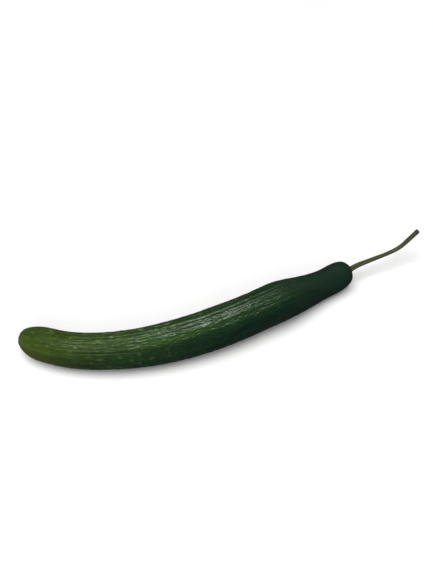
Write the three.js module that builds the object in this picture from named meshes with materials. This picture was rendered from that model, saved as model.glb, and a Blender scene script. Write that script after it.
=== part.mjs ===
// A slicing cucumber lying on a table, as picked with its long stalk.
// Millimetres, +Z up. The underside touches z = 0 and the origin is the middle of the footprint.
// +X points from the blossom end towards the stalk end.
import * as THREE from "three";

// The fruit's curved axis seen from above, from the blossom end to the stalk end.
const SPINE_PLAN = [
  [-193, -49],
  [-168, -60.5],
  [-140, -68.5],
  [-105, -70],
  [-62, -62.5],
  [-14, -43.5],
  [45, -8.5],
  [90, 22.5],
  [117.8, 42.2],
];

// Girth: it grows from the blossom end, swells along the body and draws in to the neck at the stalk end.
const BLOSSOM_RADIUS = 15.1;
const GIRTH_GAIN = 5.4;
const BODY_SWELL = 1.6;
const NECK_DRAW_IN = 6.1;
const NECK_START = 0.73;
const NECK_END = 0.92;

// Rounded ends: length along the axis, and a power that is 2 for an ellipse and more for a blunter end.
const BLOSSOM_CAP = { length: 27, power: 1.9 };
const STALK_CAP = { length: 24, power: 2.9 };
const SHOULDER_LIFT = 1;
const SHOULDER_LIFT_START = 0.92;

// The resting strip: skin this close to the table is pressed flat on it.
const REST_DEPTH = 0.45;

// The round flat that the stalk grows from.
const SEAT_RADIUS = 4.2;
const SEAT_DEPTH = 0.8;

// The stalk leaves the seat along the fruit's axis and bends up towards its cut end.
const STALK_GAP = 0.3;
const STALK_ROUTE = [
  [128, 49.3, 16],
  [142, 56.4, 16.8],
  [158, 63.8, 18.3],
  [171.5, 71, 20.3],
  [181, 77.9, 24],
  [192.5, 85.8, 31],
];

// The stalk is thinnest past its middle, and thickens towards the fruit and a little towards the cut.
const STALK_RADIUS = 2.1;
const STALK_TAPER = 0.7;
const STALK_TAPER_END = 0.5;
const STALK_FLARE = 0.6;
const STALK_FLARE_END = 0.1;
const STALK_CUT_SWELL = 0.4;
const STALK_CUT_SWELL_START = 0.55;

const FRUIT_SIDES = 36;
const BODY_RINGS = 36;
const CAP_RINGS = 10;
const STALK_SIDES = 12;
const STALK_RINGS = 30;

const UP = new THREE.Vector3(0, 0, 1);
const { smoothstep } = THREE.MathUtils;

function girthRadius(along) {
  const swell = BODY_SWELL * Math.sin(Math.PI * along) ** 2;
  const drawIn = NECK_DRAW_IN * smoothstep(along, NECK_START, NECK_END);
  return BLOSSOM_RADIUS + GIRTH_GAIN * along + swell - drawIn;
}

// One point of a rounded end: turn runs from 0 at the tip to 1 where the end meets the body.
function capPoint(cap, turn) {
  const angle = (turn * Math.PI) / 2;
  const fromTip = cap.length * (1 - Math.cos(angle) ** (2 / cap.power));
  const share = Math.sin(angle) ** (2 / cap.power);
  return { fromTip, share };
}

function fruitProfile(length) {
  const profile = [];
  const addRing = (at, share) => {
    profile.push(new THREE.Vector2(share * girthRadius(at / length), at));
  };
  for (let i = 0; i < CAP_RINGS; i += 1) {
    const { fromTip, share } = capPoint(BLOSSOM_CAP, i / CAP_RINGS);
    addRing(fromTip, share);
  }
  const bodyLength = length - BLOSSOM_CAP.length - STALK_CAP.length;
  for (let i = 0; i <= BODY_RINGS; i += 1) {
    addRing(BLOSSOM_CAP.length + (bodyLength * i) / BODY_RINGS, 1);
  }
  for (let i = CAP_RINGS - 1; i > 0; i -= 1) {
    const { fromTip, share } = capPoint(STALK_CAP, i / CAP_RINGS);
    if (share * girthRadius(1) > SEAT_RADIUS && fromTip > SEAT_DEPTH) {
      addRing(length - fromTip, share);
    }
  }
  profile.push(new THREE.Vector2(SEAT_RADIUS, length - SEAT_DEPTH));
  profile.push(new THREE.Vector2(0, length - SEAT_DEPTH));
  return profile;
}

function stalkProfile(length) {
  const profile = [new THREE.Vector2(0, 0)];
  for (let i = 0; i <= STALK_RINGS; i += 1) {
    const along = i / STALK_RINGS;
    const taper = STALK_TAPER * (1 - smoothstep(along, 0, STALK_TAPER_END));
    const flare = STALK_FLARE * (1 - smoothstep(along, 0, STALK_FLARE_END));
    const cutSwell = STALK_CUT_SWELL * smoothstep(along, STALK_CUT_SWELL_START, 1);
    profile.push(new THREE.Vector2(STALK_RADIUS + taper + flare + cutSwell, along * length));
  }
  profile.push(new THREE.Vector2(0, length));
  return profile;
}

// Bends a lathed solid, whose axis is +Y from y = 0 to y = length, so that the axis follows a curve.
function bendAlong(geometry, curve, length) {
  const position = geometry.getAttribute("position");
  const point = new THREE.Vector3();
  for (let i = 0; i < position.count; i += 1) {
    point.fromBufferAttribute(position, i);
    const along = Math.min(point.y / length, 1);
    const tangent = curve.getTangentAt(along);
    const side = tangent.clone().cross(UP).normalize();
    const top = side.clone().cross(tangent);
    const bent = curve.getPointAt(along).addScaledVector(side, point.x).addScaledVector(top, point.z);
    position.setXYZ(i, bent.x, bent.y, bent.z);
  }
  return geometry;
}

// Height of the fruit's axis above the table, so that the underside lies on it.
function axisHeight(along) {
  return girthRadius(along) + SHOULDER_LIFT * smoothstep(along, SHOULDER_LIFT_START, 1);
}

function makeFruit(spine) {
  const length = spine.getLength();
  const geometry = new THREE.LatheGeometry(fruitProfile(length), FRUIT_SIDES);
  const position = geometry.getAttribute("position");
  const heights = [];
  for (let i = 0; i < position.count; i += 1) {
    heights.push(axisHeight(position.getY(i) / length));
  }
  bendAlong(geometry, spine, length);
  for (let i = 0; i < position.count; i += 1) {
    const height = position.getZ(i) + heights[i];
    position.setZ(i, height < REST_DEPTH ? 0 : height);
  }
  geometry.computeVertexNormals();
  const skin = new THREE.MeshStandardMaterial({ color: 0x2f4b2b, roughness: 0.4, metalness: 0 });
  const fruit = new THREE.Mesh(geometry, skin);
  fruit.name = "fruit";
  return fruit;
}

function makeStem(spine) {
  const outward = spine.getTangentAt(1);
  const seat = spine.getPointAt(1).setZ(axisHeight(1));
  const start = seat.addScaledVector(outward, STALK_GAP - SEAT_DEPTH);
  const route = STALK_ROUTE.map((point) => new THREE.Vector3(...point));
  const straight = start.clone().addScaledVector(outward, STALK_RADIUS);
  const curve = new THREE.CatmullRomCurve3([start, straight, ...route], false, "catmullrom");
  const length = curve.getLength();
  const geometry = bendAlong(new THREE.LatheGeometry(stalkProfile(length), STALK_SIDES), curve, length);
  geometry.computeVertexNormals();
  const bark = new THREE.MeshStandardMaterial({ color: 0x5f6140, roughness: 0.8, metalness: 0 });
  const stem = new THREE.Mesh(geometry, bark);
  stem.name = "stem";
  return stem;
}

const spinePoints = SPINE_PLAN.map(([x, y]) => new THREE.Vector3(x, y, 0));
const spine = new THREE.CatmullRomCurve3(spinePoints, false, "catmullrom");

const cucumber = new THREE.Group();
cucumber.add(makeFruit(spine), makeStem(spine));

export default cucumber;
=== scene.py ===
"""The looks of a long ribbed cucumber and its stalk, lying on a pale floor.

Everything is in metres in the CAD frame: +Z up, the floor at z = 0, +X towards the stalk end.
Only the two routes whose names end in _MM are in millimetres.
"""

import math

import bpy
import numpy as np
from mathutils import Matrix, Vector


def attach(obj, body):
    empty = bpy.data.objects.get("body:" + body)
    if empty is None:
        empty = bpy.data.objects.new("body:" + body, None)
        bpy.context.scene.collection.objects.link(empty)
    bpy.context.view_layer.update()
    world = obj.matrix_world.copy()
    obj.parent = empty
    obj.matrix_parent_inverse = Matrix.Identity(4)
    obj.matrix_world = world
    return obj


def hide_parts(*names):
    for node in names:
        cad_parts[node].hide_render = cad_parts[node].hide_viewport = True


MM = 0.001
TURN = 2 * math.pi

# The fruit's curved axis seen from above, as in the CAD part, from the blossom end to the stalk end.
SPINE_PLAN_MM = [
    (-193, -49),
    (-168, -60.5),
    (-140, -68.5),
    (-105, -70),
    (-62, -62.5),
    (-14, -43.5),
    (45, -8.5),
    (90, 22.5),
    (117.8, 42.2),
]

# Girth along the axis, as in the CAD part.
BLOSSOM_RADIUS = 15.1 * MM
GIRTH_GAIN = 5.4 * MM
BODY_SWELL = 1.6 * MM
NECK_DRAW_IN = 6.1 * MM
NECK_START = 0.73
NECK_END = 0.92
BLOSSOM_CAP_LENGTH = 27 * MM
BLOSSOM_CAP_POWER = 1.9
STALK_CAP_LENGTH = 24 * MM
STALK_CAP_POWER = 2.9
SHOULDER_LIFT = 1 * MM
SHOULDER_LIFT_START = 0.92

# The stalk starts a little inside the fruit, under the dish that it grows from.
STALK_ROOT_DEPTH = 2.2 * MM

# The stalk's route after its straight start, as in the CAD part.
STALK_ROUTE_MM = [
    (128, 49.3, 16),
    (142, 56.4, 16.8),
    (158, 63.8, 18.3),
    (171.5, 71, 20.3),
    (181, 77.9, 24),
    (192.5, 85.8, 31),
]
STALK_RADIUS = 2.1 * MM
STALK_TAPER = 0.7 * MM
STALK_TAPER_END = 0.5
STALK_FLARE = 0.6 * MM
STALK_FLARE_END = 0.1
STALK_CUT_SWELL = 0.4 * MM
STALK_CUT_SWELL_START = 0.55


# ---------------------------------------------------------------- shapes shared with the CAD part


def smoothstep(x, low, high):
    """Rises smoothly from 0 at low to 1 at high."""
    t = np.clip((np.asarray(x, float) - low) / (high - low), 0, 1)
    return t * t * (3 - 2 * t)


def fade_out(x, low, high):
    """Falls smoothly from 1 at low to 0 at high."""
    return 1 - smoothstep(x, low, high)


class Curve:
    """A uniform Catmull-Rom curve through points, followed by arc length from 0 to 1."""

    def __init__(self, points, samples_a_span=80):
        p = np.asarray(points, float)
        p = np.vstack([2 * p[0] - p[1], p, 2 * p[-1] - p[-2]])
        u = np.linspace(0, 1, samples_a_span, endpoint=False)[:, None]
        spans = []
        for a, b, c, d in zip(p[:-3], p[1:-2], p[2:-1], p[3:]):
            bends = (c - a) * u + (2 * a - 5 * b + 4 * c - d) * u**2 + (3 * b - a - 3 * c + d) * u**3
            spans.append(b + bends / 2)
        self.points = np.vstack([*spans, p[-2:-1]])
        steps = np.linalg.norm(np.diff(self.points, axis=0), axis=1)
        self.reached = np.concatenate([[0], np.cumsum(steps)])
        self.length = self.reached[-1]
        self.reached /= self.length

    def at(self, along):
        return np.stack([np.interp(along, self.reached, axis) for axis in self.points.T], -1)

    def frame(self, along, reach=0.002):
        """The tangent, the side to its right and the top, at each place along the curve."""
        along = np.asarray(along, float)
        tangent = self.at(np.clip(along + reach, 0, 1)) - self.at(np.clip(along - reach, 0, 1))
        tangent /= np.linalg.norm(tangent, axis=-1, keepdims=True)
        side = np.cross(tangent, (0.0, 0.0, 1.0))
        side /= np.linalg.norm(side, axis=-1, keepdims=True)
        return tangent, side, np.cross(side, tangent)


def girth_radius(along):
    swell = BODY_SWELL * np.sin(math.pi * np.asarray(along, float)) ** 2
    draw_in = NECK_DRAW_IN * smoothstep(along, NECK_START, NECK_END)
    return BLOSSOM_RADIUS + GIRTH_GAIN * along + swell - draw_in


def axis_height(along):
    """Height of the fruit's axis above the floor, so that its underside lies on it."""
    return girth_radius(along) + SHOULDER_LIFT * smoothstep(along, SHOULDER_LIFT_START, 1)


def rounded_end(cap_length, power, rings):
    """Distance from the tip and share of the girth, for rings from the tip to where the body starts."""
    angle = np.linspace(0, math.pi / 2, rings, endpoint=False)
    from_tip = cap_length * (1 - np.cos(angle) ** (2 / power))
    return from_tip, np.sin(angle) ** (2 / power)


def stalk_radius(along):
    taper = STALK_TAPER * fade_out(along, 0, STALK_TAPER_END)
    flare = STALK_FLARE * fade_out(along, 0, STALK_FLARE_END)
    cut_swell = STALK_CUT_SWELL * smoothstep(along, STALK_CUT_SWELL_START, 1)
    return STALK_RADIUS + taper + flare + cut_swell


# ---------------------------------------------------------------- smooth random fields


def sum_of_waves(rng, along_m, around, cycles_around, cycles_along):
    """Waves added up to a field of about -1 to 1, with no seam where around passes from 1 to 0."""
    waves = len(cycles_around)
    field = np.zeros(np.broadcast(along_m, around).shape)
    for m, k, phase in zip(cycles_around, cycles_along, rng.uniform(0, TURN, waves)):
        field += np.cos(TURN * (m * around + k * along_m) + phase)
    return field * math.sqrt(2 / waves) / 1.6


def ripples(rng, along_m, around, waves, along_size, around_size, girth):
    """Soft random lumps of typical sizes along_size and around_size, on a piece that is girth around."""
    cycles_around = np.rint(rng.normal(0, girth / around_size / 2, waves))
    cycles_along = rng.normal(0, 0.5 / along_size, waves)
    return sum_of_waves(rng, along_m, around, cycles_around, cycles_along)


def wrinkles(rng, along_m, around, waves, length, narrowest, widest):
    """Fine lengthwise wrinkles: each is about length long and from narrowest to widest across."""
    girth = TURN * REFERENCE_RADIUS
    cycles_around = np.rint(girth / rng.uniform(narrowest, widest, waves)) * rng.choice((-1, 1), waves)
    cycles_along = rng.normal(0, 0.5 / length, waves)
    return sum_of_waves(rng, along_m, around, cycles_around, cycles_along)


def wander(rng, along_m, size, waves=5):
    """A slow random line along a piece, about -1 to 1."""
    total = np.zeros_like(along_m)
    for k, phase in zip(rng.normal(0, 0.5 / size, waves), rng.uniform(0, TURN, waves)):
        total += np.cos(TURN * k * along_m + phase)
    return total * math.sqrt(2 / waves) / 1.4


# ---------------------------------------------------------------- meshes


def ring_mesh(name, rings, first_pole, last_pole):
    """A closed mesh from rings of points (rings, sides, 3) with a point closing each end."""
    count, sides, _ = rings.shape
    vertices = np.vstack([rings.reshape(-1, 3), [first_pole], [last_pole]])
    ring, side = np.meshgrid(np.arange(count - 1), np.arange(sides), indexing="ij")
    here = ring * sides + side
    beside = ring * sides + (side + 1) % sides
    quads = np.stack([here, here + sides, beside + sides, beside], -1).reshape(-1, 4)
    side = np.arange(sides)
    start = np.stack([np.full(sides, count * sides), side, (side + 1) % sides], -1)
    last = (count - 1) * sides
    end = np.stack([np.full(sides, count * sides + 1), last + (side + 1) % sides, last + side], -1)
    mesh = bpy.data.meshes.new(name)
    mesh.from_pydata(vertices.tolist(), [], quads.tolist() + start.tolist() + end.tolist())
    mesh.validate()
    mesh.shade_smooth()
    piece = bpy.data.objects.new(name, mesh)
    bpy.context.scene.collection.objects.link(piece)
    return piece


def with_poles(field, at_first, at_last):
    """A number for each vertex of a ring mesh, in its order."""
    return np.concatenate([np.ravel(field), [at_first, at_last]])


def unbent_place(along_m, angle, radius, length):
    """Each vertex's place on a straight, even copy of the piece, for textures that follow its length."""
    across = with_poles(radius * np.sin(angle), 0, 0)
    up = with_poles(radius * np.cos(angle), 0, 0)
    return np.stack([with_poles(along_m, 0, length), across, up], -1)


def store(piece, name, values):
    """Keeps a number or a vector at each vertex for the material to read."""
    values = np.asarray(values, np.float32)
    kind = "FLOAT" if values.ndim == 1 else "FLOAT_VECTOR"
    layer = piece.data.attributes.new(name, kind, "POINT")
    layer.data.foreach_set("value" if kind == "FLOAT" else "vector", values.ravel())


# ---------------------------------------------------------------- the fruit

FRUIT_SIDES = 288
FRUIT_CAP_RINGS = 36
FRUIT_BODY_RINGS = 270

# The radius at which the skin's textures, wrinkles and fine grooves have their true size.
REFERENCE_RADIUS = 18 * MM
FRUIT_GIRTH = 115 * MM

# Lengthwise lines: the grooves between the rounded ribs, and finer grooves on them. Unevenness is a share
# of their spacing, a line's strength is level plus or minus change, and gap_size is how fast that changes.
RIB_LINES = {
    "count": 19,
    "unevenness": 0.3,
    "weakest": 0.5,
    "level": 0.75,
    "change": 0.35,
    "gap_size": 50 * MM,
}
FINE_LINES = {
    "count": 34,
    "unevenness": 0.32,
    "weakest": 0.45,
    "level": 0.68,
    "change": 0.32,
    "gap_size": 20 * MM,
}
RIB_DEPTH = 0.85 * MM
RIB_ROUNDNESS = 2.2
RIB_LINE_SHARPNESS = 9
FINE_GROOVE_DEPTH = 0.30 * MM
FINE_GROOVE_WIDTH = 0.7 * MM

# Every line drifts sideways by about this share of the spacing, over about this length.
LINE_DRIFT = 0.14
LINE_DRIFT_SIZE = 70 * MM

# Wrinkles are long on the blossom third and shorter further on. Creases part the skin into small plates.
WRINKLE_DEPTH = 0.25 * MM
LONG_WRINKLES = {"waves": 110, "length": 8 * MM, "narrowest": 1.9 * MM, "widest": 3.5 * MM}
LONG_WRINKLE_STRENGTH = 0.9
SHORT_WRINKLES = {"waves": 110, "length": 4.5 * MM, "narrowest": 1.7 * MM, "widest": 3.6 * MM}
UNWRINKLED = 0.55
CREASE_DEPTH = 0.16 * MM
CREASES = {"waves": 90, "length": 6 * MM, "narrowest": 3.0 * MM, "widest": 6.5 * MM}
CREASE_SHARPNESS = 0.30

LUMP_DEPTH = 0.55 * MM
LOBE_COUNT = 3
LOBE_DEPTH = 0.25 * MM

# All relief but the scars is cut inwards, so the whole skin is moved out by this much.
DEPTH_GIVEN_BACK = 0.22 * MM

SPINE_SCARS = 150
SPINE_SCAR_RADIUS = 1.1 * MM
SPINE_SCAR_HEIGHT = 0.16 * MM
SPINE_SCAR_STRETCH = 1.8

DIMPLE_DEPTH = 1.3 * MM
BUTTON_HEIGHT = 0.5 * MM
PUCKER_COUNT = 9
PUCKER_DEPTH = 0.35 * MM

DISH_DEPTH = 1.5 * MM
FOLD_COUNT = 5
FOLD_DEPTH = 0.45 * MM


def lengthwise_lines(rng, along_m, count, unevenness, weakest, level, change, gap_size):
    """Each line's place around the fruit, in turns, and its strength from 0 to 1, which comes and goes."""
    for i in range(count):
        uneven = i + rng.uniform(-unevenness, unevenness)
        centre = (uneven + LINE_DRIFT * wander(rng, along_m, LINE_DRIFT_SIZE)) / count
        strength = rng.uniform(weakest, 1.0) * (level + change * wander(rng, along_m, gap_size))
        yield centre, np.clip(strength, 0, 1)


def ribs(rng, along_m, around):
    """Where each point is on its rib, 0 on the crest to 1 in the groove, and that groove's strength."""
    before, after = np.full(around.shape, 2.0), np.full(around.shape, 2.0)
    before_strength, after_strength = np.zeros(around.shape), np.zeros(around.shape)
    for centre, strength in lengthwise_lines(rng, along_m, **RIB_LINES):
        past = (around - centre) % 1
        before_strength = np.where(past < before, strength, before_strength)
        before = np.minimum(before, past)
        after_strength = np.where(1 - past < after, strength, after_strength)
        after = np.minimum(after, 1 - past)
    across = np.abs(before - after) / (before + after)
    return across, np.where(before < after, before_strength, after_strength)


def fine_grooves(rng, along_m, around):
    """Narrow lengthwise grooves: 1 at the bottom of a strong groove and 0 between grooves."""
    depth = np.zeros_like(along_m)
    for centre, strength in lengthwise_lines(rng, along_m, **FINE_LINES):
        apart = (around - centre + 0.5) % 1 - 0.5
        across = apart * TURN * REFERENCE_RADIUS / FINE_GROOVE_WIDTH
        depth = np.maximum(depth, strength * np.exp(-(across**2)))
    return depth


def spine_scars(rng, length, along_m, around):
    """Small raised dots left by the young fruit's spines, most of them on the blossom half."""
    bumps = np.zeros_like(along_m)
    for _ in range(SPINE_SCARS):
        at = length * rng.beta(1.5, 2.2) * 0.9
        turn = rng.uniform()
        size = SPINE_SCAR_RADIUS * rng.uniform(0.6, 1.4)
        radius = float(girth_radius(at / length))
        rows = np.nonzero(np.abs(along_m[:, 0] - at) < 3 * size)[0]
        if len(rows) == 0:
            continue
        part = slice(rows[0], rows[-1] + 1)
        across = ((around[part] - turn + 0.5) % 1 - 0.5) * TURN * radius
        away = ((along_m[part] - at) ** 2 / SPINE_SCAR_STRETCH + across**2) / size**2
        bumps[part] = np.maximum(bumps[part], rng.uniform(0.5, 1) * np.exp(-1.6 * away))
    return bumps


def fruit_rings(length):
    """Arc length from the tip and share of the girth, for every ring but the two poles."""
    tip, tip_share = rounded_end(BLOSSOM_CAP_LENGTH, BLOSSOM_CAP_POWER, FRUIT_CAP_RINGS)
    end, end_share = rounded_end(STALK_CAP_LENGTH, STALK_CAP_POWER, FRUIT_CAP_RINGS)
    body = np.linspace(BLOSSOM_CAP_LENGTH, length - STALK_CAP_LENGTH, FRUIT_BODY_RINGS)
    at = np.concatenate([tip[1:], body, (length - end)[:0:-1]])
    share = np.concatenate([tip_share[1:], np.ones(len(body)), end_share[:0:-1]])
    return at, share


def wrinkle_mix(rng, along_m, along, around):
    """Long wrinkles that give way to short ones from a quarter to three fifths of the way along."""
    long = wrinkles(rng, along_m, around, **LONG_WRINKLES)
    short = wrinkles(rng, along_m, around, **SHORT_WRINKLES)
    shortening = smoothstep(along, 0.25, 0.6)
    return LONG_WRINKLE_STRENGTH * np.sqrt(1 - shortening) * long + np.sqrt(shortening) * short


def skin_relief(rng, length, along_m, around):
    """How far the skin lies inside the plain girth, and the marks on it that the material reads."""
    along = along_m / length
    # Relief is strong on the body, fades on the smooth neck and softens where the ribs meet at the tip.
    on_body = smoothstep(along, 0.03, 0.22) * fade_out(along, 0.78, 0.93)
    across_rib, rib_strength = ribs(rng, along_m, around)
    rib = rib_strength * across_rib**RIB_ROUNDNESS
    rib_line = rib_strength * across_rib**RIB_LINE_SHARPNESS
    fine = fine_grooves(rng, along_m, around)
    wrinkle = wrinkle_mix(rng, along_m, along, around)
    plates = wrinkles(rng, along_m, around, **CREASES)
    crease = np.exp(-((plates / CREASE_SHARPNESS) ** 2))
    rough_patch = ripples(rng, along_m, around, 14, 35 * MM, 18 * MM, FRUIT_GIRTH)
    lumps = ripples(rng, along_m, around, 24, 45 * MM, 30 * MM, FRUIT_GIRTH)
    lobes = np.cos(TURN * LOBE_COUNT * around + 0.8 + 0.6 * wander(rng, along_m, 150 * MM))
    scars = spine_scars(rng, length, along_m, around) * (0.5 + 0.5 * on_body)

    depth = RIB_DEPTH * rib * (0.12 + 0.88 * on_body)
    depth += FINE_GROOVE_DEPTH * fine * (0.05 + 0.95 * on_body) * (1 - 0.6 * rib_line)
    wrinkled = (0.05 + 0.95 * on_body) * np.clip(0.75 + 0.45 * rough_patch, 0.2, 1.2)
    depth += (WRINKLE_DEPTH * (0.5 - 0.5 * wrinkle) + CREASE_DEPTH * crease) * wrinkled
    depth += LUMP_DEPTH * (0.5 - 0.5 * lumps) * (0.45 + 0.55 * on_body)
    depth += LOBE_DEPTH * (0.5 - 0.5 * lobes)
    depth -= SPINE_SCAR_HEIGHT * scars
    marks = {
        "groove": np.maximum(rib_line, 0.6 * fine) * (0.15 + 0.85 * on_body),
        "wrinkle": UNWRINKLED + 0.45 * wrinkle * on_body,
        "crease": crease * wrinkled,
        "scar": scars,
    }
    return np.maximum(depth, 0) - DEPTH_GIVEN_BACK, marks


def blossom_scar(along, around, off_axis):
    """A small sunken button with puckers running into it.

    Gives how far the skin is pushed in, the button's own area and its halo.
    """
    near_tip = fade_out(along, 0.02, 0.12)
    button = near_tip * fade_out(off_axis, 2.2 * MM, 4.2 * MM)
    dimple = near_tip * fade_out(off_axis, 1 * MM, 9 * MM)
    halo = near_tip * fade_out(off_axis, 5 * MM, 14 * MM)
    puckered = near_tip * smoothstep(off_axis, 2 * MM, 4 * MM) * fade_out(off_axis, 6 * MM, 13 * MM)
    puckers = puckered * (0.5 + 0.5 * np.cos(TURN * PUCKER_COUNT * around + 1))
    push_in = DIMPLE_DEPTH * dimple - BUTTON_HEIGHT * button + PUCKER_DEPTH * puckers
    return push_in, button, halo


def stalk_seat(along, around, off_axis):
    """A shallow dish with soft folds running out of it onto the shoulder.

    Gives how far the skin is pulled in, and the dish's own area.
    """
    near_end = smoothstep(along, 0.955, 0.97)
    dish = near_end * fade_out(off_axis, 3.5 * MM, 10.5 * MM)
    folded = near_end * smoothstep(off_axis, 2.5 * MM, 5 * MM) * fade_out(off_axis, 7 * MM, 12.5 * MM)
    folds = folded * (0.5 + 0.5 * np.cos(TURN * FOLD_COUNT * around + 0.5))
    return DISH_DEPTH * dish + FOLD_DEPTH * folds, dish


def build_fruit(spine):
    rng = np.random.default_rng(7)
    length = spine.length
    at, share = fruit_rings(length)
    along_m, around = np.meshgrid(at, np.arange(FRUIT_SIDES) / FRUIT_SIDES, indexing="ij")
    along = along_m / length
    share = share[:, None] + 0 * around
    off_axis = girth_radius(along) * share
    depth, marks = skin_relief(rng, length, along_m, around)
    radius = off_axis - depth * np.sqrt(share)
    push_in, button, halo = blossom_scar(along, around, off_axis)
    pull_in, dish = stalk_seat(along, around, off_axis)

    tangent, side, top = spine.frame(along)
    angle = TURN * around
    outward = side * np.sin(angle)[..., None] + top * np.cos(angle)[..., None]
    place = spine.at(along) + outward * radius[..., None] + tangent * (push_in - pull_in)[..., None]
    place[..., 2] = np.maximum(place[..., 2] + axis_height(along), 0)
    tip_pole = spine.at(0.0) + tangent[0, 0] * (DIMPLE_DEPTH - BUTTON_HEIGHT)
    end_pole = spine.at(1.0) - tangent[-1, 0] * DISH_DEPTH
    tip_pole[2] = axis_height(0.0)
    end_pole[2] = axis_height(1.0)
    fruit = ring_mesh("cucumber_fruit", place, tip_pole, end_pole)

    store(fruit, "skin", unbent_place(along_m, angle, REFERENCE_RADIUS, length))
    store(fruit, "along", with_poles(along, 0, 1))
    store(fruit, "groove", with_poles(marks["groove"], 0, 0))
    store(fruit, "wrinkle", with_poles(marks["wrinkle"], UNWRINKLED, UNWRINKLED))
    store(fruit, "crease", with_poles(marks["crease"], 0, 0))
    store(fruit, "upper", with_poles(0.5 + 0.5 * np.cos(angle), 0.5, 0.5))
    store(fruit, "scar", with_poles(marks["scar"], 0, 0))
    store(fruit, "button", with_poles(button, 1, 0))
    store(fruit, "dish", with_poles(dish, 0, 1))
    store(fruit, "halo", with_poles(halo, 1, 0))
    return fruit


# ---------------------------------------------------------------- the stalk

STALK_SIDES = 60
STALK_RINGS = 300
STALK_RIDGES = 5
STALK_GIRTH = 14 * MM
STALK_TEXTURE_RADIUS = 2.2 * MM
FIBRE_DEPTH = 0.05 * MM
KNOT_DEPTH = 0.06 * MM
CUT_ROUNDING = 0.14


def stalk_curve(spine):
    tangent, _, _ = spine.frame(1.0)
    seat = spine.at(1.0)
    seat[2] = axis_height(1.0)
    start = seat - tangent * STALK_ROOT_DEPTH
    straight = seat + tangent * STALK_RADIUS
    return Curve([start, straight, *(np.array(STALK_ROUTE_MM) * MM)])


def build_stalk(spine):
    """The stalk, with ridges that twist slowly along it, fibres and shallow knots."""
    rng = np.random.default_rng(21)
    curve = stalk_curve(spine)
    along_1d = np.linspace(0, 1, STALK_RINGS)
    along, around = np.meshgrid(along_1d, np.arange(STALK_SIDES) / STALK_SIDES, indexing="ij")
    along_m = along * curve.length
    twist = around + 0.10 * along + 0.01 * wander(rng, along_m, 30 * MM)
    ridge = np.abs(np.cos(math.pi * STALK_RIDGES * twist)) ** 0.8
    fibres = ripples(rng, along_m, around, 60, 12 * MM, 0.8 * MM, STALK_GIRTH)
    knots = ripples(rng, along_m, around, 12, 10 * MM, 6 * MM, STALK_GIRTH)
    radius = stalk_radius(along) * (0.94 + 0.08 * ridge)
    radius -= FIBRE_DEPTH * (0.5 - 0.5 * fibres) + KNOT_DEPTH * (0.5 - 0.5 * knots)
    radius *= 1 - CUT_ROUNDING * smoothstep(along, 0.99, 1.0)

    _, side, top = curve.frame(along, reach=0.01)
    angle = TURN * around[..., None]
    outward = side * np.sin(angle) + top * np.cos(angle)
    place = curve.at(along) + outward * radius[..., None]
    stalk = ring_mesh("cucumber_stalk", place, curve.at(0.0), curve.at(1.0))

    store(stalk, "bark", unbent_place(along_m, TURN * twist, STALK_TEXTURE_RADIUS, curve.length))
    store(stalk, "along", with_poles(along, 0, 1))
    store(stalk, "ridge", with_poles(ridge, 0.5, 0.5))
    store(stalk, "cut", with_poles(0 * along, 0, 1))
    return stalk


# ---------------------------------------------------------------- materials


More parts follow.
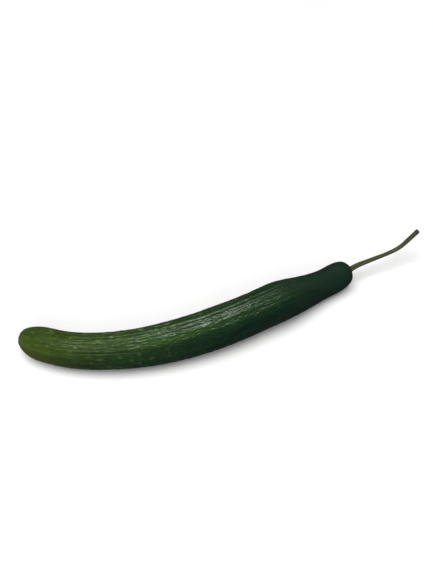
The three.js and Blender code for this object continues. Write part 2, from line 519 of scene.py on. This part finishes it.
class Nodes:
    """Short ways to add and link shader nodes in one material."""

    def __init__(self, name):
        self.material = bpy.data.materials.new(name)
        self.material.use_nodes = True
        self.tree = self.material.node_tree
        self.shader = self.tree.nodes["Principled BSDF"]

    def link(self, value, socket):
        if isinstance(value, bpy.types.NodeSocket):
            self.tree.links.new(value, socket)
        else:
            socket.default_value = value

    def attribute(self, name, output="Fac"):
        node = self.tree.nodes.new("ShaderNodeAttribute")
        node.attribute_name = name
        return node.outputs[output]

    def noise(self, vector, scale, detail=3.0, roughness=0.6):
        """Noise with one scale for every direction."""
        node = self.tree.nodes.new("ShaderNodeTexNoise")
        self.link(vector, node.inputs["Vector"])
        node.inputs["Scale"].default_value = scale
        node.inputs["Detail"].default_value = detail
        node.inputs["Roughness"].default_value = roughness
        return node.outputs["Fac"]

    def stretched_noise(self, vector, scales, detail=3.0, roughness=0.6):
        """Noise with a scale of its own for each axis."""
        node = self.tree.nodes.new("ShaderNodeMapping")
        node.inputs["Scale"].default_value = scales
        self.link(vector, node.inputs["Vector"])
        return self.noise(node.outputs["Vector"], 1.0, detail, roughness)

    def ramp(self, value, *stops):
        """Maps a value through (place, colour or grey) stops."""
        node = self.tree.nodes.new("ShaderNodeValToRGB")
        self.link(value, node.inputs["Fac"])
        elements = node.color_ramp.elements
        while len(elements) < len(stops):
            elements.new(0.5)
        for element, (place, colour) in zip(elements, stops):
            element.position = place
            grey = isinstance(colour, (int, float))
            element.color = (colour, colour, colour, 1) if grey else (*colour, 1)
        return node.outputs["Color"]

    def mix(self, share, a, b, blend="MIX"):
        node = self.tree.nodes.new("ShaderNodeMix")
        node.data_type = "RGBA"
        node.blend_type = blend
        self.link(share, node.inputs["Factor"])
        colour_a, colour_b = [s for s in node.inputs if s.type == "RGBA"]
        self.link(a if isinstance(a, bpy.types.NodeSocket) else (*a, 1), colour_a)
        self.link(b if isinstance(b, bpy.types.NodeSocket) else (*b, 1), colour_b)
        return next(s for s in node.outputs if s.type == "RGBA")

    def multiplied(self, colour, by):
        """A colour multiplied by another, which darkens it where by is below 1."""
        return self.mix(1.0, colour, by, "MULTIPLY")

    def maths(self, operation, a, b=0.0, c=0.0):
        node = self.tree.nodes.new("ShaderNodeMath")
        node.operation = operation
        for value, socket in zip((a, b, c), node.inputs):
            self.link(value, socket)
        return node.outputs["Value"]

    def times(self, a, b):
        return self.maths("MULTIPLY", a, b)

    def at_least(self, value, least):
        """Squeezes a value from 0 to 1 into least to 1."""
        return self.maths("MULTIPLY_ADD", value, 1 - least, least)

    def roughen(self, value, noise, amount):
        """Shifts a value up or down with the noise, by half of amount at the most."""
        return self.maths("MULTIPLY_ADD", noise, amount, self.maths("SUBTRACT", value, amount / 2))

    def bump(self, height, distance):
        node = self.tree.nodes.new("ShaderNodeBump")
        node.inputs["Strength"].default_value = 1.0
        node.inputs["Distance"].default_value = distance
        self.link(height, node.inputs["Height"])
        return node.outputs["Normal"]


def srgb(red, green, blue):
    """A colour as it looks on screen, from 0 to 255, turned to the linear numbers that shaders use."""
    parts = np.array([red, green, blue]) / 255
    return tuple(np.where(parts <= 0.04045, parts / 12.92, ((parts + 0.055) / 1.055) ** 2.4).tolist())


def skin_greens(n, skin, along):
    """Yellow-green at the blossom end to blue-black green on the neck.

    The flanks are paler than the upper side at the very tip and darker from a fifth of the way along.
    The colour along the fruit is its own, but from a fifth of the way along the darker flanks and underside
    are painted shade and the paler top is painted light.
    Gives the colour, and the painted-light share: 1 along the top and 0 on the flanks and below.
    """
    uneven = n.stretched_noise(skin, (14, 40, 40), 2.0, 0.5)
    place = n.roughen(along, uneven, 0.16)
    # Flank colours: the fruit's own paler olive at the tip, and painted shade from a fifth of the way along.
    flank_colours_with_painted_shade = n.ramp(
        place,
        (0.00, srgb(92, 96, 42)),
        (0.06, srgb(68, 84, 29)),
        (0.17, srgb(47, 66, 24)),
        (0.28, srgb(31, 52, 23)),
        (0.38, srgb(19, 42, 21)),
        (0.50, srgb(10, 35, 21)),
        (0.66, srgb(7, 33, 23)),
        (0.80, srgb(11, 36, 24)),
        (0.90, srgb(12, 35, 26)),
        (1.00, srgb(13, 34, 27)),
    )
    # Top colours: paler than the flanks from a fifth of the way along, which is painted light.
    top_colours_with_painted_light = n.ramp(
        place,
        (0.00, srgb(48, 66, 10)),
        (0.10, srgb(48, 67, 13)),
        (0.28, srgb(45, 68, 22)),
        (0.42, srgb(40, 68, 27)),
        (0.57, srgb(32, 60, 26)),
        (0.70, srgb(26, 53, 25)),
        (0.81, srgb(17, 43, 24)),
        (0.90, srgb(12, 36, 25)),
        (1.00, srgb(13, 35, 26)),
    )
    # Painted-light share: 1 on the top, where light is painted, falling to 0 on the flanks, where shade is
    # painted.
    painted_light_share = n.ramp(n.roughen(n.attribute("upper"), uneven, 0.2), (0.74, 0.0), (0.97, 1.0))
    return n.mix(painted_light_share, flank_colours_with_painted_shade, top_colours_with_painted_light), painted_light_share


def streaks_and_specks(n, colour, skin, along, painted_light_share):
    """Pale lengthwise streaks that run out on the neck, fine mottling, and dots on the blossom third. They
    are the skin's own marks, made strongest on the top as painted light and faded on the flanks and below as
    painted shade.
    """
    streak = n.ramp(n.stretched_noise(skin, (9, 190, 190)), (0.52, 0.0), (0.68, 1.0))
    streaked = n.ramp(along, (0.05, 0.45), (0.30, 0.5), (0.55, 0.3), (0.78, 0.15), (0.9, 0.0))
    streaked = n.times(streaked, n.at_least(painted_light_share, 0.3))
    colour = n.mix(n.times(n.times(streak, streaked), 0.6), colour, srgb(82, 108, 46))

    mottle = n.ramp(n.stretched_noise(skin, (170, 330, 330), roughness=0.65), (0.55, 0.0), (0.72, 1.0))
    mottled = n.ramp(along, (0.0, 0.5), (0.12, 0.9), (0.36, 0.7), (0.66, 0.22), (0.88, 0.0))
    mottled = n.times(mottled, n.at_least(painted_light_share, 0.25))
    colour = n.mix(n.times(n.times(mottle, mottled), 0.5), colour, srgb(104, 130, 62))

    dot = n.ramp(n.noise(skin, 430, 2.0, 0.5), (0.60, 0.0), (0.70, 1.0))
    dotted = n.ramp(along, (0.04, 0.0), (0.12, 0.45), (0.28, 0.4), (0.42, 0.0))
    dotted = n.times(dotted, n.at_least(painted_light_share, 0.2))
    return n.mix(n.times(dot, dotted), colour, srgb(108, 132, 66))


def painted_underside_shade(n, along):
    """Painted shade: white on the upper half, and darker below, less green at the blossom end and less red
    further on.
    """
    underside_shade_colour = n.ramp(along, (0.12, (0.72, 0.64, 0.70)), (0.42, (0.66, 0.88, 1.0)))
    below = n.ramp(n.attribute("upper"), (0.50, 1.0), (0.76, 0.0))
    return n.mix(below, (1.0, 1.0, 1.0), underside_shade_colour)


def relief_shade_highlights_and_scars(n, colour, along, painted_light_share, groove, crease):
    """Painted shade at the bottom of the wrinkles and in grooves and creases, a painted highlight on the
    wrinkle crests of the top, and pale spine scars, which are real but kept to the top as painted light.
    Also adds the painted shade on the underside.
    """
    wrinkle = n.attribute("wrinkle")
    # Painted shade at the bottom of the wrinkles and painted light on their crests.
    colour = n.multiplied(colour, n.ramp(wrinkle, (0.15, 0.66), (0.55, 1.0), (0.95, 1.14)))
    # A painted highlight: pale green on the wrinkle crests of the top, on the blossom half.
    crest_highlight_reach = n.ramp(along, (0.08, 0.0), (0.2, 0.5), (0.42, 0.4), (0.6, 0.0))
    crest_highlight_reach = n.times(crest_highlight_reach, painted_light_share)
    crest = n.times(n.ramp(wrinkle, (0.78, 0.0), (1.0, 1.0)), crest_highlight_reach)
    colour = n.mix(crest, colour, srgb(126, 146, 100))
    # Painted shade on the underside.
    colour = n.multiplied(colour, painted_underside_shade(n, along))
    # Painted shade in the creases and grooves.
    colour = n.mix(n.times(crease, 0.38), colour, srgb(14, 32, 14))
    colour = n.mix(n.times(groove, 0.8), colour, srgb(13, 30, 14))
    # Spine scars are pale; they are kept to the top by the painted-light share, which paints light on them.
    spotted = n.ramp(along, (0.05, 0.9), (0.32, 0.7), (0.5, 0.15))
    spotted = n.times(spotted, n.at_least(painted_light_share, 0.3))
    return n.mix(n.times(n.attribute("scar"), spotted), colour, srgb(124, 142, 92))


def end_colours(n, colour, skin):
    """The blossom scar is dry and tan in a brown halo, and the dish round the stalk is pale and fibrous."""
    fibrous = n.stretched_noise(skin, (500, 500, 500))
    tan = n.mix(fibrous, srgb(92, 78, 46), srgb(146, 128, 84))
    pale = n.mix(fibrous, srgb(46, 58, 30), srgb(84, 94, 54))
    colour = n.mix(n.times(n.attribute("halo"), 0.85), colour, srgb(82, 72, 48))
    colour = n.mix(n.attribute("button"), colour, tan)
    return n.mix(n.maths("POWER", n.attribute("dish"), 3.0), colour, pale)


def skin_roughness(n, skin, along, groove, crease):
    """The wax is shiniest on the body, in patches, and duller at both ends, in grooves and on the button."""
    roughness = n.ramp(n.stretched_noise(skin, (70, 220, 220)), (0.3, 0.13), (0.7, 0.26))
    dull_ends = n.ramp(along, (0.0, 0.5), (0.14, 0.0), (0.70, 0.0), (0.86, 1.0))
    roughness = n.mix(dull_ends, roughness, (0.8, 0.8, 0.8))
    dull_lines = n.times(n.maths("MAXIMUM", groove, crease), 0.65)
    roughness = n.mix(dull_lines, roughness, (0.62, 0.62, 0.62))
    return n.mix(n.attribute("button"), roughness, (0.8, 0.8, 0.8))


def skin_bump(n, skin, along):
    """Pores and the finest wrinkles, too small for the mesh. They almost vanish on the neck."""
    pores = n.stretched_noise(skin, (420, 900, 900))
    finest = n.stretched_noise(skin, (130, 620, 620), 2.0, 0.5)
    height = n.maths("MULTIPLY_ADD", finest, 0.8, n.times(pores, 0.5))
    calm = n.ramp(along, (0.0, 0.55), (0.1, 1.0), (0.7, 0.9), (0.9, 0.16))
    return n.bump(n.times(height, calm), 0.22 * MM)


def skin_material():
    n = Nodes("cucumber_skin")
    skin = n.attribute("skin", "Vector")
    along = n.attribute("along")
    groove = n.attribute("groove")
    crease = n.attribute("crease")
    colour, painted_light_share = skin_greens(n, skin, along)
    colour = streaks_and_specks(n, colour, skin, along, painted_light_share)
    colour = relief_shade_highlights_and_scars(n, colour, along, painted_light_share, groove, crease)
    uneven_shade = n.stretched_noise(skin, (60, 120, 120), 4.0)
    colour = n.multiplied(colour, n.ramp(uneven_shade, (0.3, 0.78), (0.7, 1.12)))
    colour = end_colours(n, colour, skin)
    n.link(colour, n.shader.inputs["Base Color"])
    n.link(skin_roughness(n, skin, along, groove, crease), n.shader.inputs["Roughness"])
    n.shader.inputs["Specular IOR Level"].default_value = 0.38
    n.shader.inputs["Specular Tint"].default_value = (0.9, 1.0, 0.9, 1.0)
    n.link(skin_bump(n, skin, along), n.shader.inputs["Normal"])
    return n.material


def stalk_material():
    """Green-brown bark that dries towards the cut, with pale fibres and dark lines between the ridges."""
    n = Nodes("cucumber_stalk")
    bark = n.attribute("bark", "Vector")
    base = n.ramp(
        n.attribute("along"),
        (0.0, srgb(60, 70, 30)),
        (0.25, srgb(64, 69, 34)),
        (0.6, srgb(59, 61, 40)),
        (1.0, srgb(50, 48, 34)),
    )
    fibres = n.stretched_noise(bark, (60, 1500, 1500))
    colour = n.mix(n.ramp(fibres, (0.4, 0.0), (0.7, 0.7)), base, srgb(102, 103, 72))
    between_ridges = n.maths("SUBTRACT", 1.0, n.attribute("ridge"))
    colour = n.mix(n.times(between_ridges, 0.7), colour, srgb(28, 33, 17))
    blotch = n.stretched_noise(bark, (160, 500, 500))
    colour = n.multiplied(colour, n.ramp(blotch, (0.3, 0.7), (0.7, 1.15)))
    colour = n.mix(n.attribute("cut"), colour, srgb(104, 96, 68))
    n.link(colour, n.shader.inputs["Base Color"])
    n.link(n.ramp(fibres, (0.3, 0.5), (0.7, 0.75)), n.shader.inputs["Roughness"])
    n.shader.inputs["Specular IOR Level"].default_value = 0.35
    hairs = n.stretched_noise(bark, (900, 1800, 1800))
    height = n.maths("MULTIPLY_ADD", hairs, 0.4, fibres)
    n.link(n.bump(height, 0.12 * MM), n.shader.inputs["Normal"])
    return n.material


def floor_material():
    n = Nodes("pale_floor")
    place = n.tree.nodes.new("ShaderNodeTexCoord").outputs["Object"]
    grain = n.noise(place, 9.0, 3.0, 0.5)
    colour = n.ramp(grain, (0.3, srgb(243, 243, 243)), (0.7, srgb(247, 247, 246)))
    n.link(colour, n.shader.inputs["Base Color"])
    n.shader.inputs["Roughness"].default_value = 0.85
    n.shader.inputs["Specular IOR Level"].default_value = 0.1
    return n.material


# ---------------------------------------------------------------- floor, light and camera

FLOOR_HALF_WIDTH = 6.0
FLOOR_DROP = 0.1 * MM

KEY_PLACE = (-0.4, -0.5, 2.3)
KEY_SPREAD = math.radians(60)
KEY_STRENGTH = 3.1

# How bright the surround looks to the camera, and how bright it is as a light and in reflections.
BACKDROP_STRENGTH = 1.0
AMBIENT_STRENGTH = 0.08

CAMERA_PITCH = math.radians(42)
CAMERA_AIM = Vector((-0.0135, 0.032, 0.0))
CAMERA_DISTANCE = 0.8


def add_floor():
    mesh = bpy.data.meshes.new("floor")
    half = FLOOR_HALF_WIDTH
    corners = [(-half, -half, 0), (half, -half, 0), (half, half, 0), (-half, half, 0)]
    mesh.from_pydata(corners, [], [(0, 1, 2, 3)])
    floor = bpy.data.objects.new("floor", mesh)
    bpy.context.scene.collection.objects.link(floor)
    floor.location.z = -FLOOR_DROP
    mesh.materials.append(floor_material())
    floor.visible_glossy = False


def add_area_light(name, place, aim, size, power, reflections_only=False):
    """A rectangular light that either shades or shows in reflections, and never both."""
    data = bpy.data.lights.new(name, "AREA")
    data.shape = "RECTANGLE"
    data.size, data.size_y = size
    data.energy = power
    lamp = bpy.data.objects.new(name, data)
    lamp.location = place
    lamp.rotation_euler = (Vector(aim) - Vector(place)).to_track_quat("-Z", "Y").to_euler()
    lamp.visible_glossy = reflections_only
    lamp.visible_diffuse = not reflections_only
    bpy.context.scene.collection.objects.link(lamp)


def add_key_light():
    """Soft light as from a wide overhead window, even over the whole floor. It only shades."""
    data = bpy.data.lights.new("key", "SUN")
    data.angle = KEY_SPREAD
    data.energy = KEY_STRENGTH
    lamp = bpy.data.objects.new("key", data)
    lamp.rotation_euler = (-Vector(KEY_PLACE)).to_track_quat("-Z", "Y").to_euler()
    lamp.visible_glossy = False
    bpy.context.scene.collection.objects.link(lamp)


def add_surround():
    """A surround that is white to the camera and much dimmer as a light and in reflections."""
    world = bpy.data.worlds.new("studio")
    world.use_nodes = True
    background = world.node_tree.nodes["Background"]
    background.inputs["Color"].default_value = (1, 1, 1, 1)
    rays = world.node_tree.nodes.new("ShaderNodeLightPath")
    strength = world.node_tree.nodes.new("ShaderNodeMapRange")
    strength.inputs["To Min"].default_value = AMBIENT_STRENGTH
    strength.inputs["To Max"].default_value = BACKDROP_STRENGTH
    world.node_tree.links.new(rays.outputs["Is Camera Ray"], strength.inputs["Value"])
    world.node_tree.links.new(strength.outputs["Result"], background.inputs["Strength"])
    bpy.context.scene.world = world


def add_lights():
    """A soft key and a front fill for the shading, and two strips that show only as streaks in the wax."""
    add_key_light()
    strips = [
        ("strip_right", (0.31, 0.50, 2.2), (0.05, 0, 0), (1.45, 0.17), 21),
        ("strip_left", (-0.8, -0.55, 2.0), (-0.1, 0, 0), (0.9, 0.12), 4.2),
    ]
    for name, place, aim, size, power in strips:
        add_area_light(name, place, aim, size, power, reflections_only=True)
    add_area_light("fill", (0.1, -2.2, 1.1), (0, 0, 0), (1.6, 1.2), 25)
    add_surround()


def add_camera():
    data = bpy.data.cameras.new("camera")
    data.lens = 50
    data.sensor_width = 36
    data.clip_end = 30
    camera = bpy.data.objects.new("camera", data)
    ahead = Vector((0, math.cos(CAMERA_PITCH), -math.sin(CAMERA_PITCH)))
    camera.location = CAMERA_AIM - ahead * CAMERA_DISTANCE
    camera.rotation_euler = ahead.to_track_quat("-Z", "Y").to_euler()
    bpy.context.scene.collection.objects.link(camera)
    bpy.context.scene.camera = camera


# ---------------------------------------------------------------- the scene

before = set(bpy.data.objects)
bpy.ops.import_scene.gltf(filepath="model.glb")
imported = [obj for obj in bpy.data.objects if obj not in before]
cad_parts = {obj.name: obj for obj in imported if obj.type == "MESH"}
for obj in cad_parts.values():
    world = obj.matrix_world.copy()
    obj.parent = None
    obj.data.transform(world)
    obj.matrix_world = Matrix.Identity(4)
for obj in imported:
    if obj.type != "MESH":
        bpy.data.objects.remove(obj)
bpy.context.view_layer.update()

add_camera()
add_lights()
add_floor()
bpy.context.scene.view_settings.view_transform = "Standard"

spine = Curve([(x * MM, y * MM, 0) for x, y in SPINE_PLAN_MM])

fruit = build_fruit(spine)
fruit.data.materials.append(skin_material())
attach(fruit, "root")
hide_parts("fruit")

stalk = build_stalk(spine)
stalk.data.materials.append(stalk_material())
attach(stalk, "root")
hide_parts("stem")
